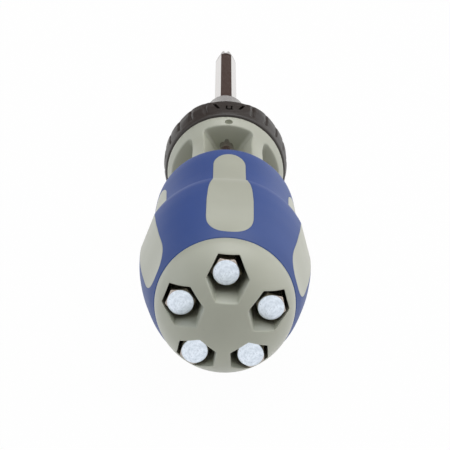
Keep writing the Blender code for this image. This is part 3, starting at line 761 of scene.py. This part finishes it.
def bore_surface(clock, inside):
    """The bore, where two cams stand in and three notches for the click spring are cut."""
    clock = clock % 360
    if inside and min(abs(clock - CAM_CLOCK), abs(clock - 360 + CAM_CLOCK)) < CAM_HALF:
        return CAM_RADIUS
    notch = min(abs(clock - 180 - step) for step in NOTCH_STEPS)
    return RING_BORE + NOTCH_DEPTH * (1 - eased(notch, *NOTCH_HALVES)) if inside else RING_BORE


ring_stations = [mix(RING_START, RING_END, (1 - cos(pi * k / 44)) / 2) for k in range(45)]
# Station, then a radius, or True where the bore has its cams and notches, or None where it is plain.
ring_inside = [(RING_END, RING_MOUTH + 0.15), (111.25, RING_MOUTH), (COVER_SEAT, RING_MOUTH),
               (COVER_SEAT, None), (108.3, None), (108.2, True), (103.5, True), (103.4, None),
               (99.8, None), (RING_START, RING_BORE + 0.2)]


def ring_place(column, row):
    """The ring's rows: its outside from the back to the front, then its inside back again."""
    clock = 360 * column / RING_COLUMNS
    if row < len(ring_stations):
        return spot(clock, ring_stations[row], ring_surface(clock, ring_stations[row]))
    station, radius = (ring_inside + [(RING_START, None)])[row - len(ring_stations)]
    if row == len(ring_stations) + len(ring_inside):
        radius = ring_surface(clock, RING_START)
    elif radius is None or radius is True:
        radius = bore_surface(clock, radius)
    return spot(clock, station, radius)


ring = welded("direction_ring", [laid_sheet(RING_COLUMNS, len(ring_stations) + len(ring_inside), ring_place)])


def mark(clock, station, size, slant):
    """A small block that stands on the ring's top, to cut a mark with."""
    bpy.ops.object.select_all(action="DESELECT")
    bpy.ops.mesh.primitive_cube_add(size=MM, location=(0, 0, 0), rotation=(0, 0, radians(slant)),
                                    scale=(*size, 2.0))
    made = settled()
    made.rotation_euler = (0, radians(clock), 0)
    made.location = spot(clock, station, MARK_FLOOR + 1.0)
    return settled()


cut_away(ring, [mark(*values) for values in MARKS])
smoothed(ring, 40)


def black_plastic():
    """Brown-black satin plastic, its tone and gloss a little uneven."""
    finish = Finish("black_plastic")
    cloud = finish.noise(5.0, detail=3.0)
    tone = finish.blend(cloud, tuple(c * 0.8 for c in BLACK), tuple(c * 1.3 for c in BLACK))
    grain = finish.noise(0.14, detail=2.0)
    return finish.skin(tone, cloud * 0.14 + 0.38, grain + cloud * 0.4, 0.012)


black = black_plastic()
ring.data.materials.append(black)
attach(ring, "selector")
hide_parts("selector_ring")

# Cover and screws.
# The front plate, moulded in the ring's black plastic, keeps the gear, the pawls and the ring in place. Three
# small pan-head screws in plated steel hold it to the housing.
COVER_START = 111.0
COVER_END = 112.4
COVER_RADIUS = 16.2
COVER_BORE = 6.9
COVER_STEP = 8.4                                 # radius of the shallow step round the chuck
SCREW_CLOCKS = (0.0, 150.0, 210.0)
SCREW_CIRCLE = 11.8
SCREW_FOOT = 104.0
SCREW_HEAD = 112.7
SCREW_SHANK = 0.8
SCREW_HOLE = 1.1
PAN_ROWS = ((0.0, SCREW_SHANK), (0.0, 1.8), (0.45, 1.8), (0.75, 1.68), (0.98, 1.35), (1.1, 0.8),
            (1.1, 0.0))                          # height over the plate, radius
CROSS_SLOT = (2.0, 1.4, 0.38)
CROSS_MIDDLE = 1.2                               # over the plate


def turned_piece(name, outline, clock=0.0, off=0.0, steps=96):
    """Draw an outline of (station, radius) point by point and spin it into a closed piece."""
    bpy.ops.object.select_all(action="DESELECT")
    bpy.ops.mesh.primitive_plane_add(size=MM, location=(0, 0, 0))
    piece = bpy.context.object
    bpy.ops.object.mode_set(mode="EDIT")
    bpy.ops.mesh.select_all(action="SELECT")
    bpy.ops.mesh.merge(type="CENTER")
    middle = spot(clock, 0, off)
    first = Vector((middle.x, RIM + outline[0][0] * MM, middle.z + outline[0][1] * MM))
    bpy.ops.transform.translate(value=first)
    for (station, radius), (last_station, last_radius) in zip(outline[1:], outline):
        bpy.ops.mesh.extrude_region_move(TRANSFORM_OT_translate={
            "value": (0, (station - last_station) * MM, (radius - last_radius) * MM)})
    bpy.ops.mesh.select_all(action="SELECT")
    bpy.ops.mesh.spin(steps=steps, angle=2 * pi, center=middle, axis=(0, 1, 0))
    bpy.ops.mesh.select_all(action="SELECT")
    bpy.ops.mesh.remove_doubles(threshold=0.002 * MM)
    bpy.ops.mesh.normals_make_consistent(inside=False)
    bpy.ops.object.mode_set(mode="OBJECT")
    piece.name = name
    return piece


cover = turned_piece("front_cover", [
    (COVER_START, COVER_BORE), (COVER_START, COVER_RADIUS), (COVER_END - 0.45, COVER_RADIUS),
    (COVER_END - 0.15, COVER_RADIUS - 0.12), (COVER_END, COVER_RADIUS - 0.4), (COVER_END, COVER_STEP),
    (COVER_END - 0.3, COVER_STEP - 0.3), (COVER_END - 0.3, COVER_BORE + 0.2), (COVER_END - 0.5, COVER_BORE),
    (COVER_START, COVER_BORE)])
cut_away(cover, [rod(clock, SCREW_CIRCLE, COVER_START - 1, COVER_END + 1, SCREW_HOLE, 24)
                 for clock in SCREW_CLOCKS])
smoothed(cover)
cover.data.materials.append(black)
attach(cover, "handle")
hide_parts("housing_cover")


def plated_steel(name, colour, rough, brushed, depth):
    """Plated steel with fine lines that the lathe left round it."""
    finish = Finish(name, metallic=1.0)
    lines = finish.noise(2.0, detail=4.0, rough=0.7, stretch=(1, 60, 1))
    smear = finish.noise(4.0, detail=3.0)
    tone = finish.blend(smear, tuple(c * 0.9 for c in colour), colour)
    return finish.skin(tone, smear * 0.1 + lines * brushed + rough, lines, depth)


bright = plated_steel("bright_steel", (0.68, 0.67, 0.66), 0.16, 0.10, 0.004)
screw_outline = [(SCREW_FOOT, 0.0), (SCREW_FOOT, SCREW_SHANK - 0.05), (SCREW_FOOT + 0.3, SCREW_SHANK)]
screw_outline += [(SCREW_HEAD + height, radius) for height, radius in PAN_ROWS]
for number, clock in enumerate(SCREW_CLOCKS, 1):
    screw = turned_piece(f"pan_head_screw_{number}", screw_outline, clock, SCREW_CIRCLE, 40)
    for turn in (0, 90):
        bpy.ops.object.select_all(action="DESELECT")
        slot_middle = spot(clock, SCREW_HEAD + CROSS_MIDDLE, SCREW_CIRCLE)
        bpy.ops.mesh.primitive_cube_add(size=MM, location=slot_middle, rotation=(0, radians(turn), 0),
                                        scale=CROSS_SLOT)
        cut_away(screw, [settled()])
    smoothed(screw)
    screw.data.materials.append(bright)
    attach(screw, "handle")
    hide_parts(f"cover_screw_{number}")

# Drive spindle.
# One turned steel piece: the journal that runs in the flange, the seat of the gear, and the long round chuck
# nose, bored with a hexagon for the bit. A snap ring and a magnet inside hold the bit.
NOSE_RADIUS = 6.5
NOSE_END = 158.8
SOCKET_FLATS = 6.95
SOCKET_BOTTOM = 137.6
SOCKET_LEAD = (0.6, 4.45, 3.8)                   # depth of its lead-in, and the radius outside and inside
JOURNAL_START = 88.0
JOURNAL_RADIUS = 3.0
GEAR_SEAT = (101.8, 109.5, 5.0)                  # start, end, radius
MAGNET_SEAT = (133.2, 3.0)                       # start, radius
SNAP_GROOVE = (149.6, 151.4, 4.8)                # start, end, radius
spindle = turned_piece("chuck_spindle", [
    (JOURNAL_START, 0.0), (JOURNAL_START, JOURNAL_RADIUS - 0.3), (JOURNAL_START + 0.3, JOURNAL_RADIUS),
    (GEAR_SEAT[0], JOURNAL_RADIUS), (GEAR_SEAT[0], GEAR_SEAT[2]), (GEAR_SEAT[1], GEAR_SEAT[2]),
    (GEAR_SEAT[1], NOSE_RADIUS), (NOSE_END - 0.3, NOSE_RADIUS), (NOSE_END - 0.1, NOSE_RADIUS - 0.1),
    (NOSE_END, NOSE_RADIUS - 0.3), (NOSE_END, SOCKET_LEAD[1]), (NOSE_END - SOCKET_LEAD[0], SOCKET_LEAD[2]),
    (NOSE_END - SOCKET_LEAD[0], 0.0)])
cut_away(spindle, [rod(0, 0, SOCKET_BOTTOM, NOSE_END + 1, SOCKET_FLATS / 2 / cos(radians(30)), 6, 30),
                   rod(0, 0, MAGNET_SEAT[0], SOCKET_BOTTOM + 1, MAGNET_SEAT[1], 32),
                   rod(0, 0, SNAP_GROOVE[0], SNAP_GROOVE[1], SNAP_GROOVE[2], 48)])
smoothed(spindle)
spindle.data.materials.append(plated_steel("chuck_steel", (0.36, 0.335, 0.315), 0.12, 0.06, 0.0008))
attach(spindle, "spindle")
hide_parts("drive_spindle")

# Bits.
# Six 100 mm bits of quarter inch hexagon steel, satin plated. Their tails are turned flat with a bevelled
# rim; a round neck leads to the working tip. One is in the chuck, five lie in the handle's loose channels.
HEX_FLATS = 6.35
BIT_LENGTH = 100.0
TAIL_FACE = 3.0
TAIL_BEVEL = 0.75
BIT_COLUMNS = 96
FLUTE_LEAN = 46.0
RING_TONES = ((0.64, 0.71, 0.79), (0.84, 0.91, 1.0))     # a tail face's lathe rings, dull and bright, in a bluish white that is partly painted reflection
FACE_SPECK = (0.40, 0.44, 0.50)
# Painted dark reflection: the dark brown that each bit's tip is painted towards.
TIP_SHADE_TONE = (0.10, 0.065, 0.045)
TIP_SHADE_FROM = (84.0, 90.0)                        # the tip's painted dark reflection fades in over this stretch, counted from the tail
FACE_FADE = (0.02, 0.12)                         # the face's finish ends within this depth


def cross_shape(size, first):
    """Four wings, one of them at the first angle, with V-shaped valleys that deepen towards the tip."""
    taper = flowing([(-9.5, size), (-4.0, size * 0.88), (-2.0, size * 0.78), (-0.6, size * 0.6),
                     (0.0, size * 0.4)])
    valley = flowing([(-9.5, size), (-8.0, size * 0.80), (-5.0, size * 0.5), (0.0, size * 0.2)])

    def radius(turn, back):
        away = abs((turn - first) % 90 - 45)
        root = valley(back) * sin(radians(FLUTE_LEAN)) / sin(radians(FLUTE_LEAN - min(away, 45)))
        return min(taper(back), root)

    return radius


def blade_shape(width):
    """A flat blade that thins towards its end."""
    thick = flowing([(-14.0, 3.2), (-11.0, 1.75), (-5.0, 0.8), (-0.15, 0.42), (0.0, 0.36)])
    broad = flowing([(-14.0, 2.6), (-9.0, width / 2), (-0.2, width / 2), (0.0, width / 2 - 0.12)])

    def radius(turn, back):
        across, up = abs(sin(radians(turn))), abs(cos(radians(turn)))
        return min(broad(back) / max(across, 1e-3), thick(back) / max(up, 1e-3))

    return radius


star_cone = flowing([(-9.5, 2.3), (-8.6, 1.95), (-0.3, 1.9), (0.0, 1.65)])


def star_shape(turn, back):
    """Six round lobes on a slim cone."""
    return star_cone(back) * (1 - 0.13 * (1 - cos(radians(6 * turn))) * eased(back, -9.4, -7.8))


square_side = flowing([(-9.5, 2.0), (0.0, 1.55)])
square_cone = flowing([(-9.5, 2.35), (-0.4, 2.2), (0.0, 1.8)])


def square_shape(turn, back):
    """A square that tapers a little, its corners trimmed by a cone."""
    corner = sum(max(0.0, cos(radians(turn - 90 * k))) ** 20 for k in range(4)) ** (-1 / 20)
    return min(square_side(back) * corner, square_cone(back))


def bit_piece(name, tail, taper, cone, centre, clock, tip_shape, reach, girth):
    """Skin a bit over its rows: at each, the least of the hexagon, the turned shape and the tip."""
    shoulder = BIT_LENGTH - taper
    corner = HEX_FLATS / 2 / cos(radians(30)) + 0.05
    lathe = flowing([(0.0, TAIL_FACE), (0.08, TAIL_FACE + 0.12), (TAIL_BEVEL, corner),
                     (shoulder + cone[0], corner), (shoulder + cone[1], 3.2),
                     (shoulder + cone[2], girth + 0.05), (BIT_LENGTH - reach, girth), (BIT_LENGTH, girth)])
    # Rows lie close where the shape turns: at the tail's bevel, at the cone and towards the tip.
    rows = [0.0, 0.0, 0.0] + [TAIL_BEVEL * k / 8 for k in range(1, 9)] + [1.5, 20, 40, 60, shoulder - 2]
    rows += [shoulder - 1.9 + 2.2 * k / 8 for k in range(9)] + [shoulder + k for k in (1, 2, 3, 4)]
    steps = 34
    start = shoulder + 5
    rows += [mix(start, BIT_LENGTH, (1 - (1 - k / steps) ** 1.3)) for k in range(steps + 1)] + [BIT_LENGTH]
    # The share of the radius that is left on the rows that close the two ends.
    inset = {0: 0.0, 1: 0.6, len(rows) - 1: 0.0}

    def place(column, row):
        turn = 360 * column / BIT_COLUMNS
        along = rows[row]
        radius = min(hexagon_radius(turn, HEX_FLATS), lathe(along))
        if along > BIT_LENGTH - reach - 2:
            radius = min(radius, tip_shape(turn, along - BIT_LENGTH))
        radius *= inset.get(row, 1.0)
        x = centre[0] + radius * sin(radians(turn + clock))
        z = centre[1] + radius * cos(radians(turn + clock))
        return Vector((x * MM, RIM + (tail + along) * MM, AXIS + z * MM))

    return smoothed(welded(name, [laid_sheet(BIT_COLUMNS, len(rows) - 1, place)]), 30)


def bit_steel(name, centre, tail, colour, dark_tip, rough):
    """Satin plating: lines drawn along the shank, lathe rings on the tail face; painted reflection brightens
    the face and darkens the tip.
    """
    finish = Finish(name, metallic=1.0)
    middle = (-centre[0] * MM, -(RIM + tail * MM), -(AXIS + centre[1] * MM))
    place = finish.node("ShaderNodeMapping", values={"Vector": finish.place, "Location": middle})
    rings = finish.node("ShaderNodeTexWave", {"wave_type": "RINGS", "rings_direction": "Y"},
                        {"Vector": place, "Scale": 430.0, "Distortion": 1.2, "Detail": 2.0})
    split = finish.node("ShaderNodeSeparateXYZ", values=[place], output="Y")
    face = 1 - finish.band(split, *(depth * MM for depth in FACE_FADE))
    drawn = finish.noise(3.0, detail=4.0, rough=0.7, place=place, stretch=(40, 1, 40))
    mottle = finish.noise(0.9, detail=4.0, rough=0.6, place=place)
    speck = finish.noise(0.45, detail=3.0, place=place)
    body = finish.blend(mottle, tuple(c * 0.9 for c in colour), colour)
    patches = rings * 0.3 + finish.band(mottle, 0.4, 0.6, 0.0, 0.7)
    # The tail face: its lathe rings are real, its bluish white is partly the turned face's own shine and
    # partly painted reflection.
    bright = finish.blend(patches, *RING_TONES)
    bright = finish.blend(finish.band(speck, 0.58, 0.68, 0.0, 0.6), bright, FACE_SPECK)
    # Painted dark reflection: towards the tip the colour turns to a dark brown.
    tip_shade = finish.band(split, *(station * MM for station in TIP_SHADE_FROM), 0.0, dark_tip)
    wear_and_tip_shade = finish.blend(tip_shade, body, TIP_SHADE_TONE)
    tone = finish.blend(face, wear_and_tip_shade, bright)
    relief = face * (rings * 0.8 + mottle) + (1 - face) * drawn * 0.2
    return finish.skin(tone, face * 0.16 + mottle * 0.08 + rough, relief, 0.006)


DRIVER_TAIL = 138.0
STORED_TAIL = -7.3
STORED_TURN = 2.0
DRIVER_TAPER = 12.5                              # from the end of the hexagon to the tip
STORED_TAPER = 23.0
DRIVER_CONE = (-1.0, 1.6, 5.5)                   # the cone that leads to the neck, from the hexagon's end
STORED_CONE = (-1.4, -0.6, 4.0)
# Painted shade: the spare bits are the driver bit's steel, painted darker and browner for the shade and warm
# reflections in their channels.
SHADED_STORED_STEEL = (0.42, 0.37, 0.33)
DRIVER_STEEL = (0.58, 0.55, 0.53)
# How far the tips are painted towards the dark reflection tone.
DARK_TIP = 0.85
# Kind, slack across and up in its channel, tip, its length, neck radius.
BITS = (("cross", (-0.4, 0.4), cross_shape(2.3, 0.0), 7.5, 2.35),
        ("flat_narrow", (0.55, -0.4), blade_shape(3.6), 12.0, 2.3),
        ("star", (0.4, -0.75), star_shape, 8.0, 2.0),
        ("square", (-0.4, -0.75), square_shape, 8.0, 2.3),
        ("flat_wide", (-0.55, -0.4), blade_shape(5.5), 12.0, 2.3))
for place, (kind, slack, shape, reach, girth) in enumerate(BITS):
    across = Vector((sin(radians(PITCH * place)), cos(radians(PITCH * place)))) * STORE_CIRCLE
    centre = (across.x + slack[0], across.y + slack[1])
    bit = bit_piece(f"spare_bit_{kind}", STORED_TAIL, STORED_TAPER, STORED_CONE, centre,
                    PITCH * place + STORED_TURN, shape, reach, girth)
    steel = bit_steel(f"bit_steel_{kind}", centre, STORED_TAIL, SHADED_STORED_STEEL, DARK_TIP, 0.16)
    bit.data.materials.append(steel)
    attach(bit, f"stored_bit_{kind}")
    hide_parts(f"stored_bit_{kind}")
bit = bit_piece("long_driver_bit", DRIVER_TAIL, DRIVER_TAPER, DRIVER_CONE, (0.0, 0.0), 0.0,
                cross_shape(2.45, 45.0), 7.5, 2.45)
steel = bit_steel("bit_steel_driver", (0.0, 0.0), DRIVER_TAIL, DRIVER_STEEL, DARK_TIP, 0.10)
bit.data.materials.append(steel)
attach(bit, "driver_bit")
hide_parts("driver_bit")

# Ratchet works.
# What sits inside keeps the shape that the frame gives it, and only gets its metal here: the die-cast
# housing, the gear and pawls in ground tool steel, their pins, the blued leaf springs and snap ring, two
# oiled bronze washers and the plated magnet.


def worked_metal(name, colour, rough, size, depth):
    """Bare metal with tool marks of a size in millimetres, under an uneven film of oil."""
    finish = Finish(name, metallic=1.0)
    lumps = finish.noise(size, detail=5.0, rough=0.65)
    film = finish.noise(size * 6, detail=2.0)
    tone = finish.blend(film, tuple(c * 0.75 for c in colour), colour)
    return finish.skin(tone, film * 0.2 + rough, lumps, depth)


INNER_FINISHES = (
    (worked_metal("die_cast_zinc", (0.42, 0.43, 0.44), 0.38, 0.5, 0.02), ("ratchet_housing",)),
    (worked_metal("ground_steel", (0.34, 0.34, 0.35), 0.22, 0.3, 0.006),
     ("ratchet_gear", "pawl_left", "pawl_right")),
    (worked_metal("pin_steel", (0.6, 0.6, 0.61), 0.18, 0.4, 0.003), ("pawl_pin_left", "pawl_pin_right")),
    (worked_metal("blued_spring", (0.13, 0.14, 0.19), 0.25, 0.4, 0.004),
     ("pawl_spring_left", "pawl_spring_right", "selector_detent_spring", "bit_snap_ring")),
    (worked_metal("oiled_bronze", (0.48, 0.29, 0.12), 0.26, 0.5, 0.008),
     ("thrust_washer_rear", "thrust_washer_front")),
    (worked_metal("plated_magnet", (0.62, 0.62, 0.6), 0.14, 0.6, 0.003), ("chuck_magnet",)))
for finish, names in INNER_FINISHES:
    for name in names:
        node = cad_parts[name]
        node.data.materials.clear()
        node.data.materials.append(finish)

# Table, light and camera.
# A plain white table in a light tent: a dome of light that is stronger ahead of the tool, a broad lamp
# overhead, a warm one at the right and a weak bluish one at the left. A dark card ahead of the tip, seen
# only in reflections, darkens the upper facet of the bit in the chuck.
bpy.ops.object.select_all(action="DESELECT")
bpy.ops.mesh.primitive_plane_add(size=6, location=(0, 0, 0))
table = bpy.context.object
table.name = "white_table"
table_paint = bpy.data.materials.new("white_table")
table_paint.use_nodes = True
tree = table_paint.node_tree
tree.nodes.remove(tree.nodes["Principled BSDF"])


def seen_directly(tree):
    """1 for rays that show the background: those of the camera, of reflections and through glass."""
    path = tree.nodes.new("ShaderNodeLightPath")
    seen = path.outputs["Is Camera Ray"]
    for ray in ("Is Glossy Ray", "Is Transmission Ray"):
        either = tree.nodes.new("ShaderNodeMath")
        either.operation = "MAXIMUM"
        tree.links.new(seen, either.inputs[0])
        tree.links.new(path.outputs[ray], either.inputs[1])
        seen = either.outputs[0]
    return seen


TABLE_TONE = (0.82, 0.82, 0.82, 1)
TABLE_GLOW = 0.98
shade = tree.nodes.new("ShaderNodeBsdfDiffuse")
shade.inputs["Color"].default_value = TABLE_TONE
glow = tree.nodes.new("ShaderNodeEmission")
blend = tree.nodes.new("ShaderNodeMixShader")
scaled = tree.nodes.new("ShaderNodeMath")
scaled.operation = "MULTIPLY"
scaled.inputs[1].default_value = TABLE_GLOW
tree.links.new(seen_directly(tree), scaled.inputs[0])
tree.links.new(scaled.outputs[0], blend.inputs[0])
tree.links.new(shade.outputs[0], blend.inputs[1])
tree.links.new(glow.outputs[0], blend.inputs[2])
tree.links.new(blend.outputs[0], tree.nodes["Material Output"].inputs["Surface"])
table.data.materials.append(table_paint)

TENT_SIDES = (-1.0, 0.1)                         # from straight behind the tool to just past its side
TENT_LEVELS = (0.27, 0.50)
world = bpy.data.worlds.new("light_tent")
bpy.context.scene.world = world
world.use_nodes = True
tree = world.node_tree
dome = tree.nodes["Background"]
dome.inputs["Color"].default_value = (1, 1, 1, 1)
level = tree.nodes.new("ShaderNodeMapRange")
direction = tree.nodes.new("ShaderNodeTexCoord")
split = tree.nodes.new("ShaderNodeSeparateXYZ")
ahead = tree.nodes.new("ShaderNodeMapRange")
ahead.inputs["From Min"].default_value = TENT_SIDES[0]
ahead.inputs["From Max"].default_value = TENT_SIDES[1]
ahead.inputs["To Min"].default_value = TENT_LEVELS[0]
ahead.inputs["To Max"].default_value = TENT_LEVELS[1]
tree.links.new(direction.outputs["Generated"], split.inputs[0])
tree.links.new(split.outputs["Y"], ahead.inputs["Value"])
tree.links.new(ahead.outputs["Result"], level.inputs["To Min"])
level.inputs["To Max"].default_value = 1.0
tree.links.new(seen_directly(tree), level.inputs["Value"])
tree.links.new(level.outputs["Result"], dome.inputs["Strength"])

CARD_PLACE = (-0.55, 1.6, 0.96)
CARD_SIZE = (2.5, 1.48, 1)
CARD_GLOW = (0.078, 0.044, 0.035, 1)
bpy.ops.object.select_all(action="DESELECT")
bpy.ops.mesh.primitive_plane_add(size=1, location=CARD_PLACE, rotation=(radians(90), 0, 0))
card = bpy.context.object
card.name = "dark_card"
card.scale = CARD_SIZE
bpy.ops.object.transform_apply(location=True, rotation=True, scale=True)
card_paint = bpy.data.materials.new("dark_card")
card_paint.use_nodes = True
card_shader = card_paint.node_tree.nodes["Principled BSDF"]
card_shader.inputs["Base Color"].default_value = (0.0, 0.0, 0.0, 1)
card_shader.inputs["Emission Color"].default_value = CARD_GLOW
card_shader.inputs["Emission Strength"].default_value = 1.0
card.data.materials.append(card_paint)
card.visible_camera = False
card.visible_diffuse = False
card.visible_shadow = False


def lamp(name, place, aim, size, power, colour=(1, 1, 1)):
    """A square lamp that faces a point; its power is in watts."""
    bpy.ops.object.light_add(type="AREA", location=place)
    made = bpy.context.object
    made.name = name
    made.data.shape = "SQUARE"
    made.data.size = size
    made.data.energy = power
    made.data.color = colour
    made.rotation_euler = (Vector(aim) - Vector(place)).to_track_quat("-Z", "Y").to_euler()
    return made


lamp("overhead_lamp", (0.1, 0.25, 1.1), (0, 0, 0), 0.9, 5.2)
lamp("right_lamp", (0.9, 0.1, 0.55), (0, 0, 0.02), 0.9, 1.9, (1.0, 0.97, 0.93))
lamp("left_lamp", (-0.9, 0.0, 0.3), (0, 0, 0.02), 0.6, 0.7, (0.8, 0.9, 1.0))

FOCAL_PIXELS = 1672.4
FRAME_PIXELS = 450
SENSOR_WIDTH = 36.0
CAMERA_FROM_RIM = Vector((-0.07, -364.03, 153.14)) * MM
LOOK_DOWN = 0.35095                              # radians
ROLL = 0.0032                                    # radians
TOOL_ROLL = radians(-3.3)                        # the tool lies rolled by this much under the camera
forward = Vector((0, cos(LOOK_DOWN), -sin(LOOK_DOWN)))
right = Vector((1, 0, 0))
up = right.cross(forward)
level_right = right * cos(ROLL) + up * sin(ROLL)
level_up = up * cos(ROLL) - right * sin(ROLL)
bpy.ops.object.camera_add()
camera = bpy.context.object
camera.data.sensor_width = SENSOR_WIDTH
camera.data.lens = FOCAL_PIXELS / FRAME_PIXELS * SENSOR_WIDTH
stance = Matrix((level_right, level_up, -forward)).transposed().to_4x4()
stance.translation = CAMERA_FROM_RIM
rim_centre = Matrix.Translation((0, RIM, AXIS))
camera.matrix_world = rim_centre @ Matrix.Rotation(TOOL_ROLL, 4, "Y") @ stance
bpy.context.scene.camera = camera
bpy.context.scene.view_settings.view_transform = "Standard"
